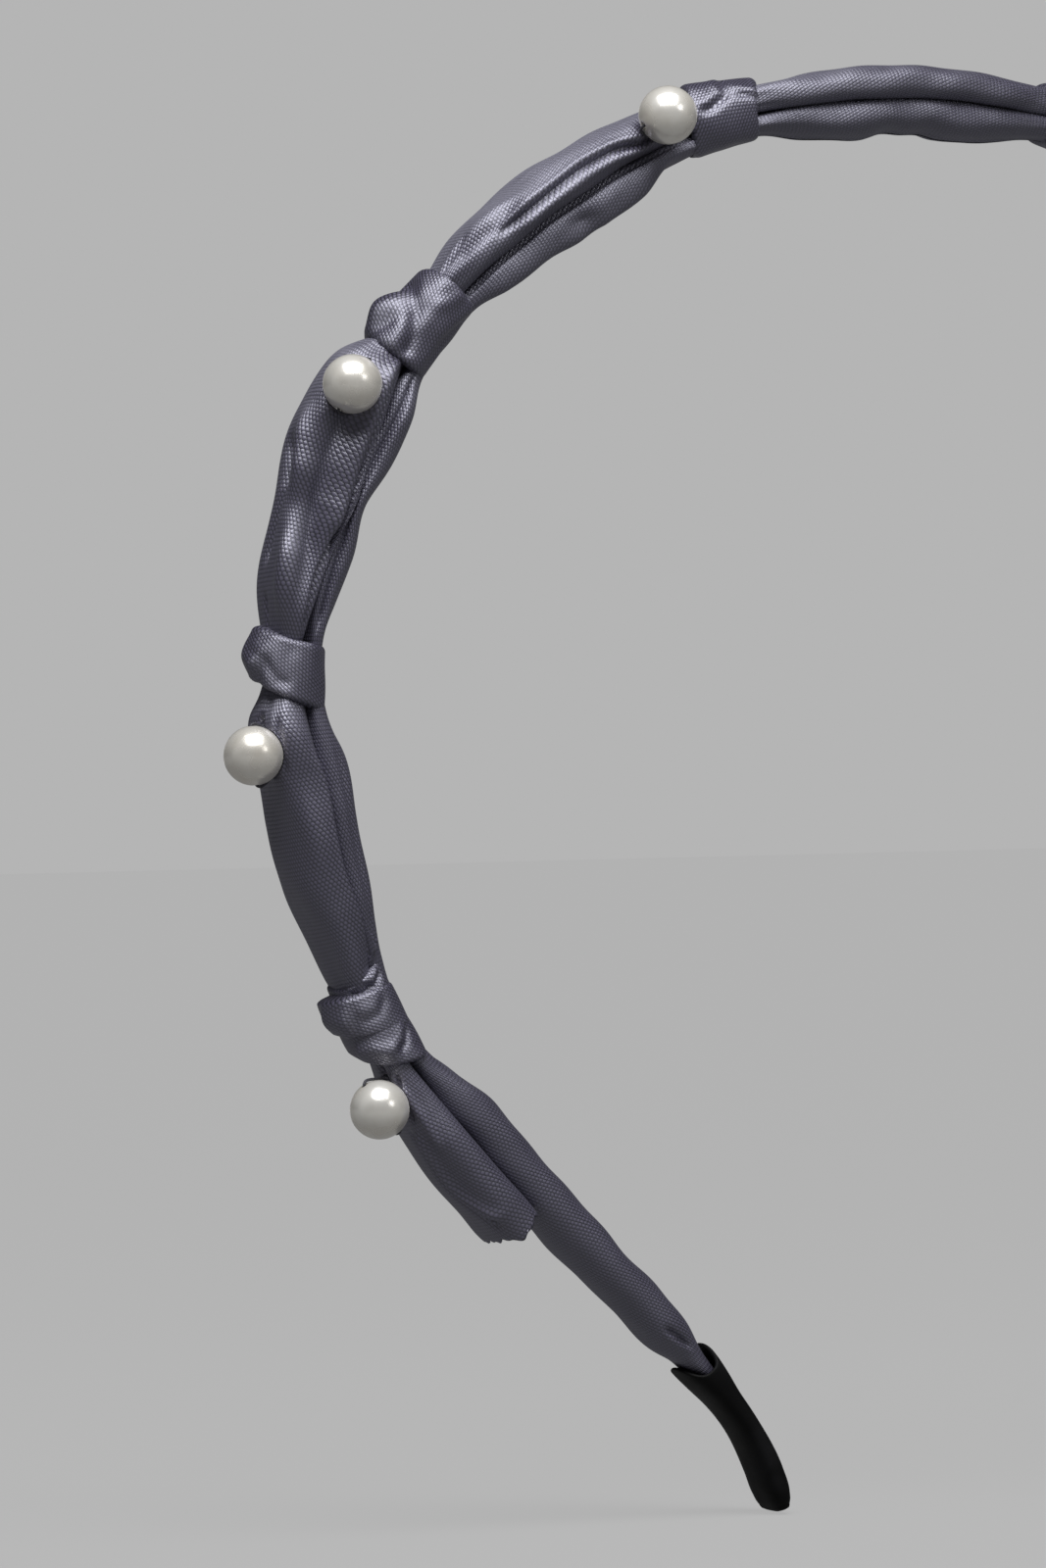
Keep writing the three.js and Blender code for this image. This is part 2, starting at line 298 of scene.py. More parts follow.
class Nodes:
    """Short names for building a node tree."""

    def __init__(self, name):
        self.material = bpy.data.materials.new(name)
        self.material.use_nodes = True
        self.tree = self.material.node_tree
        self.tree.nodes.clear()
        self.shader = self.node("ShaderNodeBsdfPrincipled")
        output = self.node("ShaderNodeOutputMaterial")
        self.tree.links.new(self.shader.outputs[0], output.inputs[0])

    def node(self, kind, **settings):
        made = self.tree.nodes.new(kind)
        for key, value in settings.items():
            setattr(made, key, value)
        return made

    def put(self, value, socket):
        if isinstance(value, bpy.types.NodeSocket):
            self.tree.links.new(value, socket)
        else:
            socket.default_value = value

    def maths(self, operation, a, b=0.0, c=0.0):
        made = self.node("ShaderNodeMath", operation=operation)
        for value, socket in zip((a, b, c), made.inputs):
            self.put(value, socket)
        return made.outputs[0]

    def noise(self, vector, scale, detail=2.0, roughness=0.5):
        made = self.node("ShaderNodeTexNoise")
        self.put(vector, made.inputs["Vector"])
        made.inputs["Scale"].default_value = scale
        made.inputs["Detail"].default_value = detail
        made.inputs["Roughness"].default_value = roughness
        return made.outputs[0]

    def spread(self, value, low, high, to_low, to_high):
        """Maps low..high to to_low..to_high."""
        made = self.node("ShaderNodeMapRange")
        for v, socket in zip((value, low, high, to_low, to_high), made.inputs):
            self.put(v, socket)
        return made.outputs[0]

    def stretched(self, vector, scale):
        made = self.node("ShaderNodeMapping")
        self.put(vector, made.inputs["Vector"])
        made.inputs["Scale"].default_value = scale
        return made.outputs[0]

    def colours(self, value, stops):
        made = self.node("ShaderNodeValToRGB")
        self.put(value, made.inputs[0])
        fill_ramp(made.color_ramp, stops)
        return made.outputs[0]

    def bump(self, height, distance, strength=1.0, onto=None):
        """A bump of a height in metres, on top of another one or alone."""
        made = self.node("ShaderNodeBump")
        made.inputs["Strength"].default_value = strength
        made.inputs["Distance"].default_value = distance
        self.put(height, made.inputs["Height"])
        if onto is not None:
            self.put(onto, made.inputs["Normal"])
        return made.outputs[0]

    def set(self, **values):
        """Sets or links the shader's sockets, with _ for a space in their names."""
        for key, value in values.items():
            self.put(value, self.shader.inputs[key.replace("_", " ")])


WEAVE_ROW = 0.34  # between rows
WEAVE_FLOAT = 0.44  # along a row
WEAVE_STAGGER = 0.382  # of a float, from row to row
WEAVE_SLANT = math.radians(28)  # off the cloth's length
WEAVE_BUMP = 0.000045  # metres, as all bumps here


def satin(name, gap_shade, light):
    """Satin: slanting rows of long floats, each row staggered against the last. Its colour holds painted
    shade: near black in the gaps between the floats, where the bump dips.
    """
    n = Nodes(name)
    uv = n.node("ShaderNodeUVMap", uv_map="Cloth").outputs[0]
    bias = n.node("ShaderNodeMapping")
    n.put(uv, bias.inputs["Vector"])
    bias.inputs["Rotation"].default_value = (0, 0, WEAVE_SLANT)
    split = n.node("ShaderNodeSeparateXYZ")
    n.put(bias.outputs[0], split.inputs[0])
    u, v = split.outputs[0], split.outputs[1]
    row = n.maths("DIVIDE", v, WEAVE_ROW)
    which = n.maths("FLOOR", row)
    across = n.maths("SINE", n.maths("MULTIPLY", n.maths("FRACT", row), math.pi))
    shifted = n.maths("MULTIPLY_ADD", u, 1 / WEAVE_FLOAT, n.maths("MULTIPLY", which, WEAVE_STAGGER))
    length = n.maths("SINE", n.maths("MULTIPLY", n.maths("FRACT", shifted), math.pi))
    thread = n.maths("POWER", across, 0.7)
    float_ = n.maths("MULTIPLY", thread, n.maths("MULTIPLY_ADD", length, 0.65, 0.35))
    streaks = n.noise(n.stretched(uv, (0.25, 2.2, 1)), 1.0, 3.0)
    cloudy = n.noise(uv, 0.16, 2.0)
    tone = n.maths("MULTIPLY_ADD", float_, 0.8, n.maths("MULTIPLY", streaks, 0.2))
    tone = n.maths("ADD", tone, n.maths("MULTIPLY", cloudy, 0.1))
    # painted shade: the colour falls to near black where the floats dip between the rows, and rises to the
    # cloth's own slate on them; the streaks and clouds vary it at random
    colour = n.colours(tone, [(0.3, gap_shade), (0.85, light)])
    rough = n.maths("MULTIPLY_ADD", streaks, 0.14, 0.39)
    weave = n.bump(float_, WEAVE_BUMP)
    soft = n.bump(cloudy, 0.0004, 0.5, weave)
    tangent = n.node("ShaderNodeTangent", direction_type="UV_MAP", uv_map="Cloth").outputs[0]
    n.set(Base_Color=colour, Roughness=rough, Normal=soft, Tangent=tangent, Anisotropic=0.7)
    n.set(Anisotropic_Rotation=0.25, Specular_IOR_Level=1.0, IOR=1.8)
    n.set(Sheen_Weight=0.05, Sheen_Roughness=0.35)
    n.set(Specular_Tint=(0.86, 0.86, 1.0, 1), Sheen_Tint=(0.72, 0.74, 0.85, 1))
    return n.material


def pearl_lacquer():
    n = Nodes("pearl_lacquer")
    where = n.node("ShaderNodeTexCoord").outputs["Object"]
    cloud = n.noise(where, 300.0, 3.0)
    colour = n.colours(cloud, [(0.3, (0.94, 0.92, 0.87)), (0.7, (0.79, 0.75, 0.675))])
    grain = n.noise(where, 2600.0, 3.0, 0.6)
    rough = n.spread(cloud, 0.3, 0.7, 0.23, 0.3)
    n.set(Base_Color=colour, Roughness=rough, Normal=n.bump(grain, 0.00002, 0.35))
    n.set(Metallic=0.5, Coat_Weight=0.25, Coat_Roughness=0.19, Specular_IOR_Level=0.6)
    n.set(Sheen_Weight=0.5, Sheen_Roughness=0.3, Sheen_Tint=(1.0, 0.97, 0.92, 1))
    return n.material


def thread_twist():
    n = Nodes("thread_twist")
    uv = n.node("ShaderNodeUVMap", uv_map="Cloth").outputs[0]
    split = n.node("ShaderNodeSeparateXYZ")
    n.put(uv, split.inputs[0])
    turn = n.maths("MULTIPLY_ADD", split.outputs[0], 14.0, n.maths("MULTIPLY", split.outputs[1], 13.3))
    ply = n.maths("ABSOLUTE", n.maths("SINE", turn))
    # painted shade: darker in the grooves between the plies, where the bump dips, and lighter on their crests
    colour = n.colours(ply, [(0.0, (0.015, 0.015, 0.02)), (1.0, (0.06, 0.058, 0.075))])
    n.set(Base_Color=colour, Roughness=n.spread(ply, 0, 1, 0.8, 0.5))
    n.set(Normal=n.bump(ply, 0.00004, 0.8), Sheen_Weight=0.05)
    return n.material


def rubber():
    n = Nodes("rubber")
    where = n.node("ShaderNodeTexCoord").outputs["Object"]
    grain = n.noise(where, 5200.0, 3.0, 0.6)
    cloud = n.noise(where, 160.0, 3.0)
    scuff = n.spread(cloud, 0.56, 0.7, 0.0, 1.0)
    colour = n.colours(scuff, [(0.0, (0.002, 0.002, 0.0022)), (1.0, (0.006, 0.006, 0.007))])
    n.set(Base_Color=colour, Roughness=n.spread(cloud, 0.3, 0.7, 0.5, 0.68))
    n.set(Normal=n.bump(grain, 0.00003, 0.5), Specular_IOR_Level=0.14)
    return n.material


def brushed_steel():
    n = Nodes("brushed_steel")
    where = n.node("ShaderNodeTexCoord").outputs["Object"]
    lines = n.noise(n.stretched(where, (60, 3000, 60)), 1.0, 3.0)
    colour = n.colours(lines, [(0.3, (0.42, 0.43, 0.45)), (0.7, (0.6, 0.61, 0.63))])
    n.set(Base_Color=colour, Metallic=1.0, Roughness=n.spread(lines, 0.3, 0.7, 0.28, 0.42))
    n.set(Normal=n.bump(lines, 0.00001, 0.4))
    return n.material


# the satin's two colours: the first is painted shade for the gaps between the floats, the second the cloth's
# own slate on them
SLATE_AND_GAP_SHADE = ((0.002, 0.002, 0.004), (0.086, 0.079, 0.122))  # between the threads, and on them
satin_ribbon = satin("satin_ribbon", *SLATE_AND_GAP_SHADE)
satin_sleeve = satin("satin_sleeve", *SLATE_AND_GAP_SHADE)
pearl_look, thread_look, rubber_look = pearl_lacquer(), thread_twist(), rubber()
steel_look = brushed_steel()

# ---- the sleeve and the ribbon ----

# each stop is (place, value): how far the sleeve reaches towards the head, and the ribbon outward
SLEEVE_INNER = [
    (0, 2.8), (2.2, 2.7), (4.5, 3.15), (8, 3.0), (12, 2.4), (16, 1.3), (19.7, 1.1), (24, 1.05),
    (28, 1.3), (33, 2.4), (39, 3.0), (44, 2.5), (50, 1.9), (55, 1.3), (60.2, 1.1), (65, 1.5),
    (69, 2.8), (74, 3.0), (80, 2.2), (85, 2.65), (90, 2.1), (93, 1.4), (97.3, 1.15), (101, 1.5), (103, 2.1),
    (105.5, 3.1), (112, 3.4), (119, 3.2), (124, 2.3), (127, 1.6), (132, 1.15), (138, 1.2),
    (142, 2.5), (147, 3.95), (154, 3.8), (160, 3.3), (164, 2.9), (168, 2.35), (175, 2.3), (179, 2.05),
    (182.2, 1.25), (186, 1.05),
]
SLEEVE_OUTER = [
    (0, 1.3), (14, 1.2), (19.7, 1.05), (24, 1.05), (34, 1.3), (50, 1.3), (60.2, 1.05), (70, 1.2),
    (88, 1.2), (97.3, 1.05), (108, 1.2), (122, 1.2), (132, 1.05), (146, 1.3), (156, 1.6), (163, 2.3),
    (170, 2.4), (175, 2.35), (179, 2.2), (182.2, 1.3), (186, 1.05),
]
SLEEVE_WIDE = [
    (0, 7.7), (9, 7.6), (15, 6.2), (19.7, 5.5), (24, 6.4), (29, 7.3), (42, 7.8), (51, 7.0), (56, 5.9),
    (60.2, 5.3), (64.6, 5.9), (68, 7.5), (72, 7.7), (84, 7.3), (92, 6.2), (97.3, 5.3), (101, 6.3), (105, 7.4),
    (119, 7.4), (126, 6.2), (132, 5.2), (138, 5.5), (145, 7.6), (156, 7.9), (170, 7.9), (177, 7.4),
    (182.2, 6.0), (186, 5.7),
]
RIBBON_OUTER = [
    (0, 4.4), (6, 4.2), (12, 4.0), (16, 3.8), (19.7, 3.4), (23, 3.9), (28, 4.9), (35, 5.2), (44, 5.3),
    (50, 5.1), (55, 4.2), (60.2, 3.7), (63.5, 5.0), (66.5, 7.0), (69, 7.6), (73, 7.7), (78, 6.9), (84, 6.0),
    (90, 5.3), (93, 4.6), (97.3, 3.7), (99.5, 4.4), (101.5, 5.6), (104, 5.7), (107, 5.0), (112, 5.0),
    (119, 4.8), (124, 4.1), (128, 3.9), (132, 3.6), (137, 3.8), (142, 4.9), (148, 5.5), (154, 5.7),
    (158.4, 6.1),
]
RIBBON_WIDE = [
    (0, 9.5), (9, 9.0), (15, 7.2), (19.7, 5.4), (24, 6.8), (31, 9.0), (42, 10.0), (50, 9.2), (55, 7.4),
    (60.2, 5.2), (64.6, 6.2), (67, 9.0), (70, 10.1), (74, 9.8), (80, 8.9), (84, 9.0), (88, 8.8), (92, 7.8),
    (97.3, 5.2), (100.5, 7.2), (104, 9.4), (108, 9.8), (119, 9.8), (126, 8.0), (132, 5.1), (138, 6.6),
    (146, 9.8), (158.4, 10.2),
]
# how far the ribbon's sides hang down over the sleeve, and how much further its front does for each
# millimetre forward
RIBBON_HANG = [
    (0, 0.9), (14, 0.6), (19.7, 0.0), (24, 0.1), (32, 0.5), (50, 0.6), (56, 0.2), (60.2, 0.0), (65, 0.2),
    (72, 1.3), (86, 1.3), (93, 0.3), (97.3, 0.0), (102, 0.4), (109, 1.6), (119, 1.7), (126, 1.5),
    (129, 0.8), (132, 0.0), (138, 0.1), (146, 0.7), (158.4, 0.8),
]
RIBBON_LEAN = [
    (0, 0.02), (19.7, 0.0), (40, 0.05), (60.2, 0.0), (78, 0.08), (97.3, 0.0), (105, 0.05),
    (120, 0.05), (132, 0.0), (146, 0.06), (158.4, 0.06),
]


def pearl_centre(i):
    """In metres, on the left arm."""
    s = KNOT_AT[i] + PEARL_PAST[i]
    turned = math.radians(PEARL_TURNED[i])
    return place(s, PEARL_REACH * math.sin(turned), -PEARL_REACH * math.cos(turned))


PEARLS = [pearl_centre(i) for i in range(4)]
BOTH_PEARLS = PEARLS + [p * [-1, 1, 1] for p in PEARLS]


def gathers(s, v, seed):
    """Small pleats where a knot holds the cloth, that run out from it."""
    rng = np.random.default_rng(seed)
    a = np.abs(s)
    total = 0
    for at, half in zip(KNOT_AT, KNOT_HALF):
        past = np.maximum(np.abs(a - at) - half, 0)
        strength = np.exp(-past / 2.8)
        for waves, size in ((4, 0.09), (9, 0.05)):
            drift = rng.uniform(-0.04, 0.04) * (a - at)
            total = total + strength * size * np.sin(2 * np.pi * (waves * v + drift + rng.uniform()))
    return total


def sleeve_outline(s, spare=0.0):
    """The sleeve's width and its two sides, with something to spare all round."""
    a = np.abs(s)
    wide = curve(a, SLEEVE_WIDE) + 2 * spare
    low, high = -curve(a, SLEEVE_INNER) - spare, curve(a, SLEEVE_OUTER) + spare
    return wide, low, high


def sleeve_grid(start, end, seed, folds=()):
    """A length of the sleeve, open at both ends, with its seam on the head's side."""
    s = np.linspace(start, end, int(abs(end - start) / ROW_STEP) + 1)[:, None]
    v = even_turns(*SLEEVE_TURNS)[None, :]
    wide, low, high = sleeve_outline(s)
    out, back = outline(v, wide, low, high, SLEEVE_POWER)
    points = place(s, out, back)
    move = 0.07 * lumps(s, v, seed, 7) + 0.7 * gathers(s, v, seed + 1)
    round_ = np.linspace(0, SLEEVE_WIDTH, v.shape[1])[None, :]
    for crease in folds:
        move = move + fold(s + 0 * v, round_ + 0 * s, *crease)
    near_edge = np.exp(-(((round_ - 0.9) / 0.35) ** 2))
    far_edge = np.exp(-(((SLEEVE_WIDTH - 0.2 - round_) / 0.3) ** 2))
    seam = near_edge + far_edge
    points = points + normals(points) * ((move + 0.12 * seam) * MM)[..., None]
    points = off_balls(points, BOTH_PEARLS, (PEARL_RADIUS + PEARL_CLEAR) * MM)
    return points, flat_uv(points, s, SLEEVE_WIDTH, False), False


def ribbon_points(s, v, seed, folds=(), shrink=0.0):
    """The ribbon's skin at places s and turns v, pushed off the sleeve; shrink draws it in."""
    a = np.abs(s)
    low = curve(a, SLEEVE_OUTER) - curve(a, RIBBON_HANG)
    wide, high = curve(a, RIBBON_WIDE) - 2 * shrink, curve(a, RIBBON_OUTER) - shrink
    out, back = outline(v, wide, low, high, RIBBON_POWER)
    out = out + curve(a, RIBBON_LEAN) * np.minimum(back, 0)
    out, back = off_outline(out, back, *sleeve_outline(s, RIBBON_CLEAR + shrink), SLEEVE_POWER)
    points = place(s, out, back)
    move = 0.10 * lumps(s, v, seed, 7) + gathers(s, v, seed + 1)
    round_ = np.linspace(0, RIBBON_WIDTH, v.shape[1])[None, :]
    for crease in folds:
        move = move + fold(s + 0 * v, round_ + 0 * s, *crease)
    facing = ease(np.abs(v - 0.5), 0.46, 0.36)  # 0 underneath, where it lies on the sleeve
    points = points + normals(points) * (move * facing * MM)[..., None]
    return off_balls(points, BOTH_PEARLS, (PEARL_RADIUS + PEARL_CLEAR) * MM)


def ribbon_grid(start, end, seed, folds=()):
    s = np.linspace(start, end, int(abs(end - start) / ROW_STEP) + 1)[:, None]
    v = even_turns(*RIBBON_TURNS)[None, :]
    points = ribbon_points(s, v, seed, folds)
    return points, flat_uv(points, s, RIBBON_WIDTH, False), False


def tail_grid(start, seed, folds):
    """The free end: cut slantwise, with the cloth's cut edge and the inside of its mouth."""
    v = even_turns(*RIBBON_TURNS)[None, :]
    round_ = np.linspace(0, RIBBON_WIDTH, v.shape[1])
    end = curve(round_, TAIL_CUT) + 0.22 * np.sin(1.9 * round_) + 0.12 * np.sin(4.3 * round_ + 1)
    s = start + (end - start) * np.linspace(0, 1, 86)[:, None]
    deep = np.linspace(0, 1, 24)[:, None]
    inside = ribbon_points(end - TAIL_BORE * deep, v, seed, folds, CLOTH + 0.7 * deep)
    points = np.concatenate([ribbon_points(s, v, seed, folds), inside])
    along = np.concatenate([s, end + TAIL_BORE * deep])
    return points, flat_uv(points, along, RIBBON_WIDTH, False), False


HALF_GAP = 0.4  # between the cloth's lengths, inside a knot
CROWN = (-(KNOT_AT[0] - HALF_GAP), KNOT_AT[0] - HALF_GAP)
INTO_CAP = 3.1  # how far the sleeve reaches into the cap

# where the tail's cut runs: (millimetres round, place)
TAIL_CUT = [
    (0, 157.4), (4, 157.9), (6.5, 158.5), (8, 158.1), (10.5, 157.5), (13, 157.7), (14.5, 157.5), (17, 156.6),
    (20, 156.9), (25, 157.4),
]

# folds: (path of (place, millimetres round), depth, width, lip, fade); a negative depth is a ridge
RIBBON_FOLDS = [
    [
        ([(25, 6.0), (31, 5.8), (34, 6.6), (38, 6.8), (43, 6.5), (49.5, 6.4)], 0.7, 0.38, 0.25),
        ([(29, 5.0), (34, 5.7), (38, 5.9), (43, 5.7), (48, 5.5)], -0.4, 0.5),
        ([(23, 8.2), (27, 7.6), (31, 7.4)], 0.6, 0.9, 0.0, 2),
        ([(44, 8.2), (48.5, 7.6), (55, 8.4)], 0.5, 0.9, 0.2, 3),
        ([(50, 10.0), (56, 9.2)], 0.3, 0.5, 0.15, 2),
    ],
    [
        ([(64, 8.2), (67, 7.9), (70, 7.2), (73, 6.9), (77, 7.2), (81, 7.2), (86, 6.4), (92, 5.6)],
         1.7, 1.3, 0.0, 8),
        ([(72, 11.6), (76.5, 10.1), (79, 9.3), (82, 9.0)], -0.9, 1.1, 0.0, 4),
        ([(82, 9.0), (85, 8.6), (88, 8.2), (94, 7.7)], -0.8, 1.2, 0.0, 5),
        ([(75, 13.6), (78, 12.4), (80.5, 11.8), (84, 12.4), (88, 13.2)], 0.7, 0.7, 0.0, 2),
        ([(64, 5.5), (71, 5.3), (75, 5.3), (78, 5.2), (84, 5.0)], -0.45, 0.5, 0.0, 2),
        ([(66, 4.4), (70.7, 4.4), (75, 4.4), (78.3, 4.0), (84, 4.2), (91, 4.9), (94, 5.2)],
         0.6, 0.35, 0.0, 2),
        ([(95, 11.6), (92.5, 12.2), (90, 12.8)], 0.7, 0.5, 0.0, 1),
    ],
    [
        ([(101, 11.2), (103.5, 10.8), (106.5, 10.6)], 1.3, 0.6, 0.0, 1),
        ([(104, 5.2), (108, 4.9), (115, 5.0), (120, 4.8), (126, 4.7)], -0.28, 0.35, 0.0, 3),
        ([(101, 7.4), (104, 7.8), (108, 8.6)], 0.3, 0.4, 0.15, 2),
    ],
    [
        ([(136, 10.8), (139, 10.4), (142.5, 10.6)], 1.4, 0.7, 0.0, 1),
        ([(137.5, 7.4), (140, 8.1), (143.5, 8.9)], 0.45, 0.35, 0.2, 1.5),
        ([(138.8, 8.0), (140.6, 7.5), (143, 7.4), (147, 7.8)], -0.4, 0.5, 0.0, 1.5),
        ([(143.4, 9.5), (146.7, 9.7), (149, 10.0), (150.7, 9.9), (152.6, 9.2), (154.5, 8.2), (156.2, 7.0)],
         -0.7, 0.6, 0.0, 2),
        ([(143.4, 10.7), (146.7, 11.0), (149, 11.2), (150.7, 11.1), (152.6, 10.4), (154.5, 9.4),
          (156.8, 8.0)], 0.7, 0.55, 0.0, 2),
    ],
]
SLEEVE_FOLDS = [
    [([(24, 6.8), (32, 7.0), (44, 6.9), (56, 6.6)], 0.4, 0.45),
     ([(27.5, 2.9), (33, 2.6), (44, 2.7), (56, 3.2)], -0.8, 1.2, 0.0, 5),
     ([(37.5, 2.6), (40.5, 4.2), (42, 6.0)], 0.8, 1.3)],
    [([(64, 5.6), (74, 5.8), (84, 5.5), (94, 5.8)], 0.7, 0.5)],
    [([(104, 4.6), (112, 4.2), (126, 4.4)], 0.25, 0.45)],
    [([(176.5, 6.0), (178.5, 5.5), (181, 4.9)], 0.55, 0.4, 0.15, 1.5)],
]


def add(name, grids, look, body, nodes, across=None):
    """The piece of one arm and its mirror image, where the name has a side; or the crown's piece. A piece
    across a joint also names the body beyond it and the two places at its ends, but these are not used:
    it is joined to no body and does not bend."""
    for side, mirror in (("left", False), ("right", True)):
        if "SIDE" not in name and mirror:
            continue
        piece = to_mesh(name.replace("SIDE", side), grids, look, mirror)
        if across is None:
            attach(piece, body.replace("SIDE", side))
        else:
            beyond, first, last = across
            flip = [-1, 1, 1] if mirror else [1, 1, 1]
            ends = [tuple(float(x) for x in place(s, 0, 0) * flip) for s in (first, last)]
            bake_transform(piece)
        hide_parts(*[node.replace("SIDE", side) for node in nodes])


add("satin_sleeve_crown", [sleeve_grid(*CROWN, 11)], satin_sleeve, "crown", ["sleeve_crown"])
add("satin_ribbon_crown", [ribbon_grid(*CROWN, 12)], satin_ribbon, "crown", ["ribbon_crown"])
for i in range(4):
    body = f"SIDE_{i + 1}"
    start = KNOT_AT[i] + HALF_GAP
    end = KNOT_AT[i + 1] - HALF_GAP if i < 3 else CAP_MOUTH + INTO_CAP
    grid = sleeve_grid(start, end, 21 + i, SLEEVE_FOLDS[i])
    add(f"satin_sleeve_{body}", [grid], satin_sleeve, body, [f"sleeve_{body}"])
    if i < 3:
        node, ribbon_end = f"ribbon_{body}", end
        grid = ribbon_grid(start, end, 31 + i, RIBBON_FOLDS[i])
    else:
        node, ribbon_end = "ribbon_tail_SIDE", TAIL_END
        grid = tail_grid(start, 34, RIBBON_FOLDS[i])
    add(f"satin_{node}", [grid], satin_ribbon, body, [node])

# ---- the knots ----

ROUND_KNOT = 28.0  # the way round a knotted band
KNOT_POWER = 2.3
FACE_ROWS = 45  # over a turn's outer face
INNER_ROWS = 12  # under it


def turn_of_ribbon(at, near, far, wide, low, high, wall, rise=0.0, seed=1, folds=()):
    """One turn of ribbon round the band, as a closed skin. near and far are where its two edges run, and wall
    is how thick it is, as (millimetres round, value); the edges are rolled under. rise lifts the far edge's
    outer side, and lowers the near edge's."""
    v = even_turns(261, wide, high - low, KNOT_POWER)[:-1][None, :]
    around = np.linspace(0, ROUND_KNOT, v.shape[1] + 1)[:-1][None, :]
    face = np.linspace(-1, 1, FACE_ROWS)
    across = np.concatenate([face, np.linspace(1, -1, INNER_ROWS)[1:-1]])[:, None]
    lift = np.zeros((len(across), 1))
    roll = np.abs(face)
    lift[:FACE_ROWS, 0] = np.sqrt(np.clip(1 - np.clip((roll - 0.8) / 0.2, 0, 1) ** 2, 0, 1)) * 0.95 + 0.05
    lift[:FACE_ROWS, 0] += 0.12 * (1 - roll**2)
    near, far = curve(around, near), curve(around, far)
    s = at + (near + far) / 2 + across * (far - near) / 2
    raised = lift * curve(around, wall)
    out, back = outline(v, wide + 2 * raised, low - raised, high + raised + rise * across, KNOT_POWER)
    points = place(s, out, back)
    move = 0.07 * lumps(s, v, seed, 6, (2, 6), (5, 12))
    for crease in folds:
        move = move + fold(s - at, around + 0 * s, *crease)
    looped = np.concatenate([points[:, -1:], points, points[:, :1]], 1)
    move = move * (lift > 0.3) * np.minimum(lift, 1)
    points = points + normals(looped)[:, 1:-1] * (move * MM)[..., None]
    rows = np.concatenate([points, points[:1]])
    u = np.broadcast_to(np.linspace(0, ROUND_KNOT, v.shape[1] + 1), (len(rows), v.shape[1] + 1))
    half = float(np.mean(far - near)) / 2
    w = np.concatenate([face * half, half + np.linspace(0, 1, INNER_ROWS - 1) * 2 * half])
    return rows, np.stack([u, np.broadcast_to(w[:, None], u.shape)], -1), True


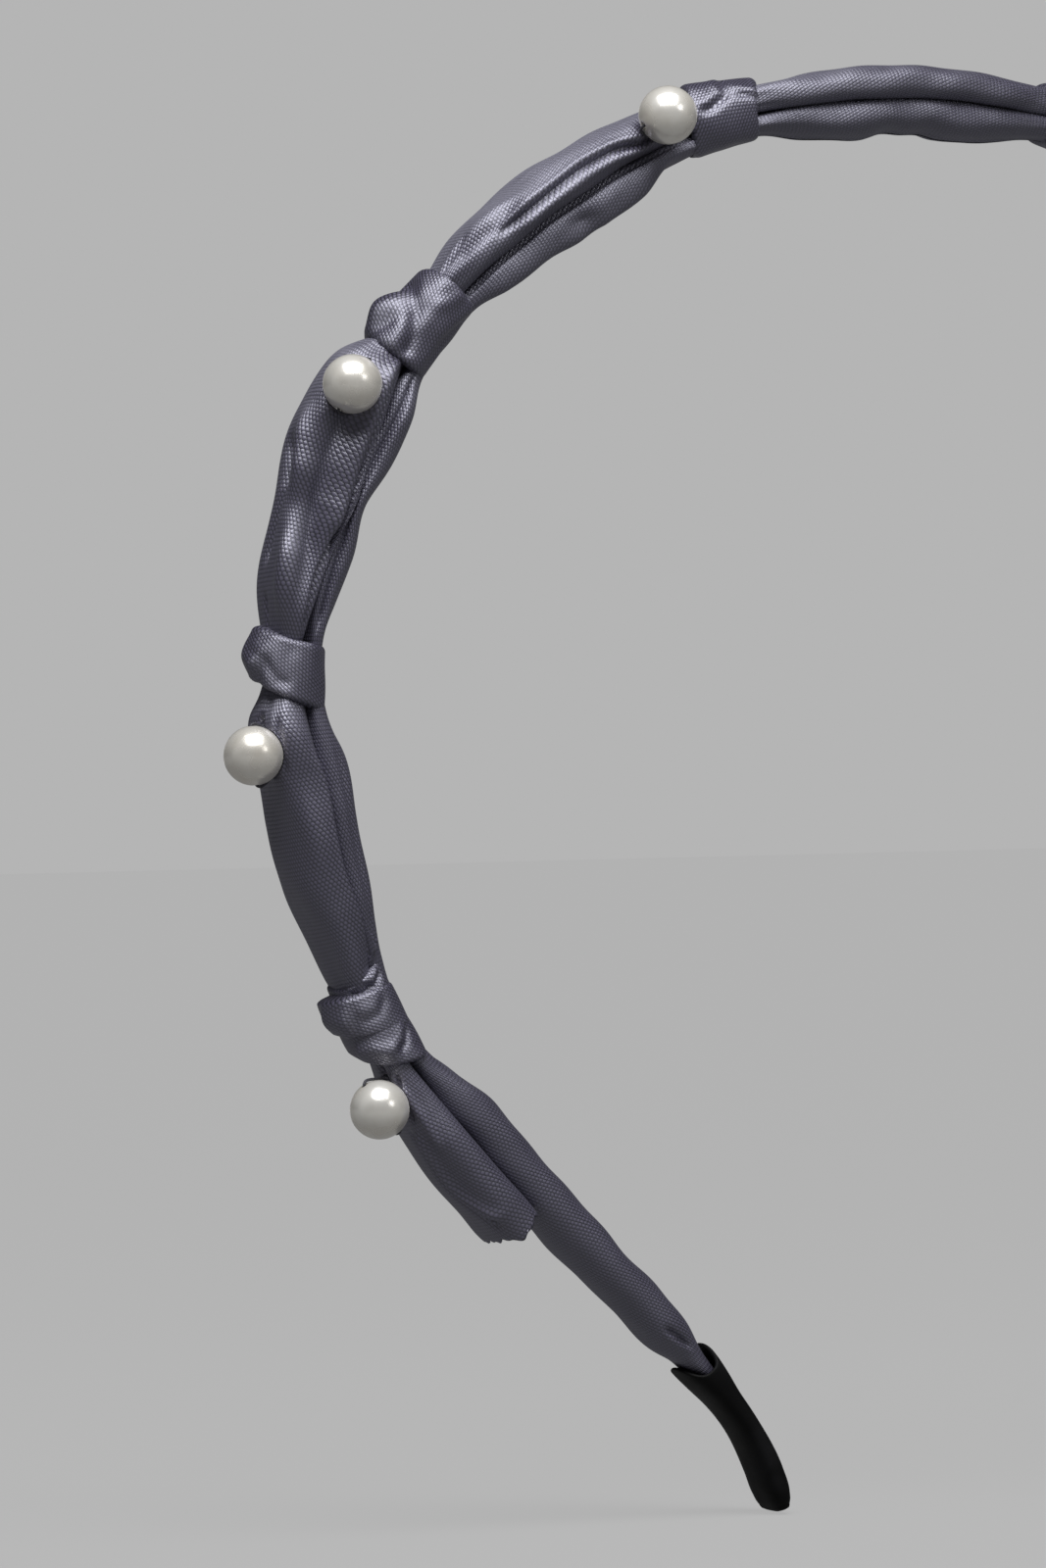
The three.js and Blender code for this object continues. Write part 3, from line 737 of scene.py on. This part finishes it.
# a turn's wall and edges are (millimetres round, value), and its folds' paths (from at, millimetres round)
WALL = [(0, 0.35), (4, 0.7), (8, 0.95), (14, 1.05), (21, 0.9), (28, 0.35)]
KNOT_TURNS = [
    [dict(
        wide=6.3, low=-1.3, high=4.2, rise=0.7, wall=WALL, seed=2,
        near=[(0, -2.8), (4, -2.3), (8, -2.5), (14, -4.3), (21, -4.0), (28, -2.8)],
        far=[(0, 4.8), (4, 5.5), (8, 4.9), (14, 3.6), (21, 3.4), (28, 4.8)],
        folds=[([(-1.4, 14.6), (0.2, 11.6), (0.6, 9.6), (2.6, 8.4), (4.4, 8.0)], 0.4, 0.5, 0.15, 1.5),
               ([(-4.0, 8.6), (-1.6, 9.2), (0.3, 9.8)], 0.25, 0.5, 0.1, 1.5),
               ([(-3.0, 3.0), (0.5, 4.2), (3.6, 3.4)], -0.25, 1.4, 0.0, 2)])],
    [dict(
        wide=6.0, low=-1.0, high=4.35, rise=0.3, wall=WALL, seed=3,
        near=[(0, -4.2), (3, -4.9), (7, -5.2), (11, -5.3), (14, -5.4), (21, -5.0), (28, -4.2)],
        far=[(0, 4.4), (7, 4.6), (11, 4.4), (14, 3.9), (21, 4.2), (28, 4.4)],
        folds=[([(-2.8, 15.6), (-2.4, 12.9), (-0.4, 9.6), (2.1, 8.0), (4.6, 7.2)], 0.55, 0.9, 0.15, 1.5),
               ([(-0.6, 15.8), (0.9, 13.6), (2.6, 11.4)], -1.5, 2.1, 0.0, 2.5),
               ([(-5.4, 6.2), (-2.8, 7.4), (-1.2, 8.8)], -0.3, 0.9, 0.0, 1.5),
               ([(-4.6, 3.2), (0.5, 4.4), (4.2, 4.0)], 0.2, 0.7, 0.1, 1.5)])],
    [dict(
        wide=6.0, low=-1.05, high=4.4, wall=WALL, seed=4,
        near=[(0, -2.8), (4, -2.8), (8, -3.1), (14, -4.1), (21, -3.6), (28, -2.8)],
        far=[(0, 4.4), (4, 3.9), (8, 2.9), (11, 2.0), (14, 1.0), (18, 0.8), (23, 2.4), (28, 4.4)],
        folds=[([(-1.8, 16.0), (-1.4, 13.6), (0.2, 12.0)], -1.2, 1.8, 0.0, 1.5),
               ([(-2.6, 14.6), (-1.0, 11.6), (0.8, 10.0), (1.4, 8.0)], 0.2, 0.6, 0.1, 1.2),
               ([(-2.0, 8.6), (0.6, 6.4), (2.8, 4.4)], -0.15, 1.0, 0.0, 1.5)])],
    [dict(
        wide=5.9, low=-1.05, high=3.8, seed=5,
        wall=[(0, 0.3), (7, 0.45), (14, 0.55), (21, 0.5), (28, 0.35)],
        near=[(0, -4.7), (5, -4.4), (9, -3.4), (14, -3.5), (21, -4.2), (28, -4.7)],
        far=[(0, -0.6), (7, -1.0), (14, -1.8), (21, -1.0), (28, -0.6)],
        folds=[([(-3.6, 4.4), (-2.6, 6.4), (-2.9, 8.4), (-2.7, 10.6)], 0.35, 0.4, 0.25, 1)]),
     dict(
        wide=5.9, low=-1.05, high=4.4, seed=6,
        wall=[(0, 0.3), (4, 0.65), (8, 1.1), (14, 1.5), (21, 1.1), (28, 0.3)],
        near=[(0, -1.9), (5, -2.2), (8, -2.5), (14, -3.0), (21, -2.4), (28, -1.9)],
        far=[(0, 2.4), (4, 2.7), (8, 2.0), (11, 1.3), (14, 0.5), (21, 1.4), (28, 2.4)],
        folds=[([(-1.4, 15.0), (-1.0, 12.4), (0.0, 10.0)], -0.6, 1.4, 0.0, 1.5),
               ([(-1.4, 5.4), (0.0, 7.4), (0.0, 10.0)], 0.2, 0.6, 0.1, 1.2)]),
     dict(
        wide=5.8, low=-1.0, high=4.1, seed=7,
        wall=[(0, 0.2), (4, 0.65), (9, 1.1), (14, 1.2), (21, 0.8), (28, 0.45)],
        near=[(0, 1.2), (7, 0.9), (14, -0.6), (21, 0.2), (28, 1.2)],
        far=[(0, 6.4), (3, 6.7), (7, 6.0), (11, 4.6), (14, 3.3), (18, 3.0), (23, 4.4), (28, 6.4)],
        folds=[([(2.6, 4.6), (4.0, 6.4), (4.4, 8.6)], 0.3, 0.5, 0.15, 1.0),
               ([(2.4, 12.6), (2.9, 10.0), (4.6, 7.0)], -0.45, 0.8, 0.0, 1.0)])],
]
for i in range(4):
    body = "crown" if i == 0 else f"SIDE_{i}"
    grids = [turn_of_ribbon(KNOT_AT[i], **turn) for turn in KNOT_TURNS[i]]
    across = (f"SIDE_{i + 1}", KNOT_AT[i] - KNOT_HALF[i], KNOT_AT[i] + KNOT_HALF[i])
    add(f"satin_knot_SIDE_{i + 1}", grids, satin_ribbon, body, [f"knot_SIDE_{i + 1}"],
        across)

# ---- pearls and thread ----

# half of the thread's route from the pearl's centre: (along the hole, towards the band)
HALF_THREAD = [
    (0, 0), (1.5, 0), (2.6, 0), (3.0, 0.06), (3.17, 0.42), (2.95, 1.2), (2.5, 1.98), (2.2, 2.7), (2.1, 3.3),
]


def frame_of(i):
    """The pearl's centre, the direction of its hole, the direction to the band, and the third one."""
    s = KNOT_AT[i] + PEARL_PAST[i]
    centre, along = PEARLS[i] / MM, down(s)
    inward = place(s, 0, 0) / MM - centre
    inward = inward / np.linalg.norm(inward)
    return centre, along, inward, np.cross(along, inward)


def pearl_grid(i):
    """A drilled ball: its outside from one end of the hole to the other, and back through the hole."""
    centre, along, inward, side = frame_of(i)
    hole = math.asin(PEARL_HOLE_RADIUS / PEARL_RADIUS)
    turn = np.linspace(hole, np.pi - hole, 57)
    radius, height = PEARL_RADIUS * np.sin(turn), -PEARL_RADIUS * np.cos(turn)
    bore = np.linspace(height[-1], height[0], 9)[1:]
    radius = np.concatenate([radius, np.full(8, PEARL_HOLE_RADIUS)])[:, None]
    height = np.concatenate([height, bore])[:, None]
    angle = np.linspace(0, 2 * np.pi, 81)[:-1][None, :]
    points = (
        centre + height[..., None] * along
        + (radius * np.cos(angle))[..., None] * inward
        + (radius * np.sin(angle))[..., None] * side
    ) * MM
    return points, flat_uv(points, height[:, 0], PEARL_ROUND, True), True


def tube(route, radius, sides=14, step=0.12):
    """A round tube along a smooth route."""
    route = np.array(route, float)
    length = np.concatenate([[0], np.cumsum(np.linalg.norm(np.diff(route, axis=0), axis=1))])
    t = np.linspace(0, length[-1], int(length[-1] / step) + 1)
    line = np.stack([curve(t, list(zip(length, route[:, k]))) for k in range(3)], -1)
    tangent = np.gradient(line, axis=0)
    tangent /= np.linalg.norm(tangent, axis=1, keepdims=True)
    across = np.cross(tangent, [0.13, 0.97, 0.21])
    across /= np.linalg.norm(across, axis=1, keepdims=True)
    other = np.cross(tangent, across)
    angle = np.linspace(0, 2 * np.pi, sides + 1)[:-1]
    ring = np.cos(angle)[None, :, None] * across[:, None] + np.sin(angle)[None, :, None] * other[:, None]
    points = (line[:, None] + radius * ring) * MM
    return points, flat_uv(points, t, 2 * np.pi * radius, True), True


def thread_grid(i):
    centre, along, inward, _ = frame_of(i)
    route = [(-a, b) for a, b in HALF_THREAD[:0:-1]] + HALF_THREAD
    return tube([centre + along * a + inward * b for a, b in route], THREAD_RADIUS)


for i in range(4):
    body = f"SIDE_{i + 1}"
    add(f"glossy_pearl_{body}", [pearl_grid(i)], pearl_look, body, [f"pearl_{body}"])
    add(f"sewing_thread_{body}", [thread_grid(i)], thread_look, body, [f"thread_{body}"])

# ---- the rubber caps ----

# stops of (distance from the mouth, value)
CAP_WIDE = [(0, 7.4), (5.5, 6.9), (9, 6.7), (14.5, 6.8), (17.0, 6.5), (18.2, 5.6), (18.8, 4.3), (19.0, 2.2)]
CAP_THICK = [
    (0, 4.1), (2.5, 3.7), (6, 2.85), (9, 2.6), (14.5, 2.8), (17.0, 2.65), (18.2, 2.1), (18.8, 1.4),
    (19.0, 0.6),
]
CAP_POWER = 2.8
CAP_MIDDLE = -0.1  # outward from the line
CAP_WALL = 0.42
CAP_BORE = 3.4  # how deep the mouth is modelled
CAP_ROUND = 18.0  # the way round, for its flat places
MOUTH_WIDE, MOUTH_LOW, MOUTH_HIGH = 7.4, -2.15, 1.95


def cap_grid():
    """The cap's inside, the rim round its scooped mouth, and its outside down to the rounded tip."""
    end = LINE_LENGTH - CAP_MOUTH
    v = even_turns(97, 6.8, 3.2, CAP_POWER)[:-1][None, :]
    tip = end - 2.5 * np.cos(np.linspace(0.05, np.pi / 2, 22))
    d = np.clip(np.concatenate([np.linspace(0, 16.5, 60), tip]), 0, end)[:, None]
    wide, thick = curve(d, CAP_WIDE), curve(d, CAP_THICK)
    scoop = CAP_SCOOP * np.abs(np.sin(2 * np.pi * v)) ** 1.6
    out, back = outline(v, wide, CAP_MIDDLE - thick / 2, CAP_MIDDLE + thick / 2, CAP_POWER)
    outside = place(CAP_MOUTH + d + scoop * ease(-d, -6.5, 0), out, back)
    lip = np.linspace(0, np.pi, 7)[1:-1][:, None]
    inset = CAP_WALL * (1 - np.cos(lip)) / 2
    out, back = outline(v, MOUTH_WIDE - 2 * inset, MOUTH_LOW + inset, MOUTH_HIGH - inset, CAP_POWER)
    rim = place(CAP_MOUTH + scoop - 0.2 * np.sin(lip), out, back)[::-1]
    deep = np.linspace(0, CAP_BORE, 14)[::-1][:, None]
    low, high = MOUTH_LOW + CAP_WALL + 0.03 * deep, MOUTH_HIGH - CAP_WALL - 0.03 * deep
    out, back = outline(v, MOUTH_WIDE - 2 * CAP_WALL - 0.1 * deep, low, high, CAP_POWER)
    inside = place(CAP_MOUTH + deep + scoop * (1 - deep / 6.5), out, back)
    points = np.concatenate([inside, rim, outside])
    return points, flat_uv(points, np.arange(len(points)) * ROW_STEP, CAP_ROUND, True), True


add("rubber_tip_cap_SIDE", [cap_grid()], rubber_look, "SIDE_4", ["tip_cap_SIDE"])

for name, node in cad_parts.items():
    if name.startswith("core_"):
        node.data.materials.clear()
        node.data.materials.append(steel_look)

# ---- floor, light and camera ----

GREY = 0.462  # the background's level
FLOOR_SHINE = 0.35  # of GREY, to light the band
FLOOR_SEEN = 0.545  # more of it, for the camera

CAMERA_AZIMUTH, CAMERA_ROLL = -22, -1.2  # degrees
CAMERA_FAR = 0.75
LOOK_AT = Vector((-0.04372, 0, -0.0668))
FLOOR_BELOW = 0.0002

floor_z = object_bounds()[0][2] - FLOOR_BELOW
bpy.ops.mesh.primitive_plane_add(size=12, location=(0, 0, floor_z))
floor = bpy.context.object
floor.name = "floor"
n = Nodes("floor")
n.set(Base_Color=(0.06, 0.06, 0.06, 1), Roughness=0.9, Specular_IOR_Level=0.0)
seen = n.node("ShaderNodeLightPath").outputs["Is Camera Ray"]
shine = n.maths("MULTIPLY_ADD", seen, FLOOR_SEEN, FLOOR_SHINE)
n.set(Emission_Color=(GREY, GREY, GREY, 1), Emission_Strength=shine)
floor.data.materials.append(n.material)

azimuth = math.radians(CAMERA_AZIMUTH)
towards = Vector((math.sin(azimuth), -math.cos(azimuth), 0))  # from the band to the camera
camera_data = bpy.data.cameras.new("camera")
camera_data.lens = 168.75
camera_data.sensor_width = 36
camera = in_scene("camera", camera_data)
turned = (-towards).to_track_quat("-Z", "Y").to_matrix().to_4x4()
roll = Matrix.Rotation(math.radians(CAMERA_ROLL), 4, "Z")
camera.matrix_world = Matrix.Translation(LOOK_AT + towards * CAMERA_FAR) @ turned @ roll
bpy.context.scene.camera = camera

# the world is plain GREY to the camera, and a soft light, brightest from the sides, to everything else
world = bpy.data.worlds.new("studio")
bpy.context.scene.world = world
world.use_nodes = True
tree = world.node_tree
tree.nodes.clear()
output = tree.nodes.new("ShaderNodeOutputWorld")
shown = tree.nodes.new("ShaderNodeBackground")
shown.inputs[0].default_value = (GREY, GREY, GREY, 1)
lit = tree.nodes.new("ShaderNodeBackground")
path = tree.nodes.new("ShaderNodeLightPath")
chosen = tree.nodes.new("ShaderNodeMixShader")
tree.links.new(path.outputs["Is Camera Ray"], chosen.inputs[0])
tree.links.new(lit.outputs[0], chosen.inputs[1])
tree.links.new(shown.outputs[0], chosen.inputs[2])
tree.links.new(chosen.outputs[0], output.inputs[0])
coords = tree.nodes.new("ShaderNodeTexCoord")
facing_camera = tree.nodes.new("ShaderNodeVectorMath")
facing_camera.operation = "DOT_PRODUCT"
tree.links.new(coords.outputs["Generated"], facing_camera.inputs[0])
facing_camera.inputs[1].default_value = towards
ramp = tree.nodes.new("ShaderNodeValToRGB")
tree.links.new(facing_camera.outputs["Value"], ramp.inputs[0])
levels = [(0.0, 0.05), (0.12, 0.19), (0.5, 0.17), (0.75, 0.05)]  # (how far towards the camera, radiance)
fill_ramp(ramp.color_ramp, [(at, (level, level, level)) for at, level in levels])
tree.links.new(ramp.outputs[0], lit.inputs[0])


def soft_sun(name, azimuth, elevation, strength, angle):
    """A lamp at the azimuth and elevation in degrees, angle degrees across."""
    data = bpy.data.lights.new(name, "SUN")
    data.energy = strength
    data.angle = math.radians(angle)
    a, e = math.radians(azimuth), math.radians(elevation)
    to_lamp = Vector((math.sin(a) * math.cos(e), -math.cos(a) * math.cos(e), math.sin(e)))
    in_scene(name, data).rotation_euler = to_lamp.to_track_quat("Z", "Y").to_euler()


soft_sun("key", azimuth=-22, elevation=64, strength=1.5, angle=40)
soft_sun("side", azimuth=31, elevation=23, strength=0.2, angle=16)

softbox = bpy.data.lights.new("softbox", "AREA")
softbox.shape = "RECTANGLE"
softbox.size, softbox.size_y = 0.34, 0.26
softbox.energy = 1.3
lamp = in_scene("softbox", softbox)
lamp.location = Vector((-0.03, 0, 0.27)) + towards * 0.15
lamp.rotation_euler = (lamp.location - Vector((-0.04, 0, -0.04))).to_track_quat("Z", "Y").to_euler()
lamp.visible_camera = False

bpy.context.scene.view_settings.view_transform = "Standard"
